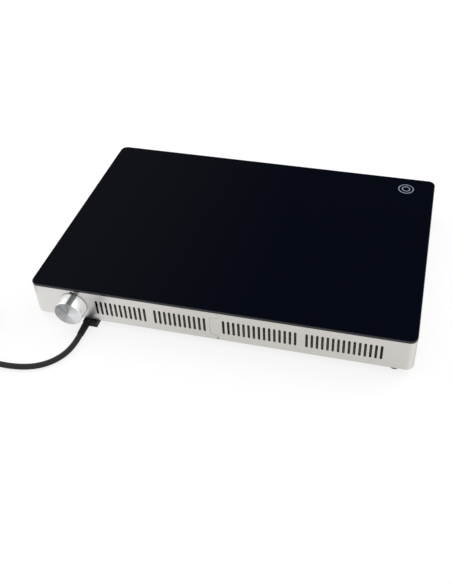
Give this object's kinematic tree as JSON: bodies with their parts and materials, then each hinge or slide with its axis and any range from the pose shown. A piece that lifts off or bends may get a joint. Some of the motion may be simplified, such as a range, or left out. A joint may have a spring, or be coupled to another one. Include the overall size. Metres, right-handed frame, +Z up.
{
  "type": "electric food warmer tray",
  "caption": "Flat electric food warmer tray with a black glass hot plate, slotted brushed steel housing, thermostat knob, pilot lamp and coiled mains lead.",
  "frame": {"origin": "on the table under the middle of the housing with its knob, measured without the mains cord", "axes": "+Z up, X along the long side, the front wall with the knob faces -Y"},
  "size_m": [0.7165, 0.4645, 0.0633],
  "materials": {
    "black_glass": "polished black back-painted glass with ground edges",
    "silicone": "black silicone bead",
    "band_steel": "satin stainless, grain along the strip",
    "galvanised": "plain zinc-coated sheet",
    "sheet_aluminium": "mill finish sheet",
    "knob_aluminium": "turned aluminium, concentric tool marks",
    "element_sheath": "heat-tinted steel sheath",
    "ceramic_mat": "white ceramic fibre mat",
    "bright_screw": "bright zinc plated screws",
    "foot_rubber": "black moulded rubber",
    "black_moulding": "black moulded plastic with a fine grain",
    "white_moulding": "white ceramic-like moulding",
    "brass": "plain brass",
    "lens": "dark smoked lens",
    "cord_sheath": "black rubber-sheathed cord",
    "wire_sheath": "silicone insulated wire",
    "pin_metal": "nickel plated pins"
  },
  "bodies": {
    "housing": {"base_plate": "galvanised", "base_screws": "bright_screw", "cord_coil": "cord_sheath", "cord_gland": "black_moulding", "earth_stud": "brass", "earth_wire": "wire_sheath", "element_clamps": "galvanised", "element_feed_wire": "wire_sheath", "element_return_wire": "wire_sheath", "foot_back_left": "foot_rubber", "foot_back_right": "foot_rubber", "foot_front_left": "foot_rubber", "foot_front_right": "foot_rubber", "foot_screws": "bright_screw", "glass_frame": "galvanised", "glass_seal": "silicone", "glass_top": "black_glass", "heat_shield": "sheet_aluminium", "heat_spreader": "sheet_aluminium", "heating_element": "element_sheath", "insulation_mat": "ceramic_mat", "lamp_body": "black_moulding", "lamp_lens": "lens", "mains_cord": "cord_sheath", "mains_plug": "black_moulding", "plug_pins": "pin_metal", "seam_strap": "galvanised", "sensor_bulb": "brass", "sensor_capillary": "brass", "shield_spacers": "galvanised", "side_band": "band_steel", "spacer_screws": "bright_screw", "strain_relief": "black_moulding", "supply_wires": "wire_sheath", "terminal_block": "white_moulding", "thermal_cutout": "sheet_aluminium", "thermostat_body": "white_moulding", "thermostat_bush": "brass", "thermostat_screws": "bright_screw", "thermostat_wire": "wire_sheath"},
    "knob": {"knob_cap": "knob_aluminium", "knob_core": "black_moulding", "knob_set_screw": "bright_screw", "thermostat_spindle": "bright_screw"}
  },
  "joints": [
    {"name": "knob_turn", "type": "hinge", "parent": "housing", "child": "knob", "pos_m": [-0.20495, -0.18, 0.0353], "axis": [0, 1, 0], "range_deg": [0, 270]}
  ]
}
